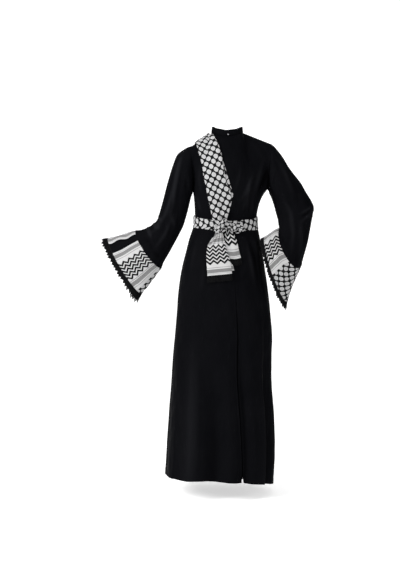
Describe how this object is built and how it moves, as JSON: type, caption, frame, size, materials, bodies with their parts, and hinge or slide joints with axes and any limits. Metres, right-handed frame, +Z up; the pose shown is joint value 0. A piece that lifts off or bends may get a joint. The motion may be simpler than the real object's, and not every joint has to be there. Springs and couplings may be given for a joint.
{
  "type": "thobe dress",
  "caption": "Long-sleeved floor-length black thobe dress in its worn hollow form, with bell sleeves, checked-scarf cuffs and a matching belt and shoulder sash tied at the back.",
  "frame": {"origin": "middle of the neck, level with the points where the shoulder seams meet the collar", "axes": "+Z up along the dress, which faces -Y, with its left side at +X"},
  "size_m": [0.894, 0.3958, 1.5008],
  "materials": {
    "black_crepe": "matt woven crepe",
    "scarf_cotton": "woven cotton, white with a black net and zigzag pattern",
    "black_lace": "crocheted thread",
    "silver_metal": "polished"
  },
  "bodies": {
    "root": {"back": "black_crepe", "front": "black_crepe", "collar": "black_crepe", "neck_button": "silver_metal", "sleeve_left": "black_crepe", "sleeve_right": "black_crepe", "cuff_left": "scarf_cotton", "cuff_right": "scarf_cotton", "lace_left": "black_lace", "lace_right": "black_lace", "sash_back": "scarf_cotton", "sash_front": "scarf_cotton", "belt": "scarf_cotton", "knot": "scarf_cotton", "bow_loop": "scarf_cotton", "tail_long": "scarf_cotton", "tail_short": "scarf_cotton", "tail_long_fringe": "black_lace", "tail_short_fringe": "black_lace"}
  },
  "joints": []
}
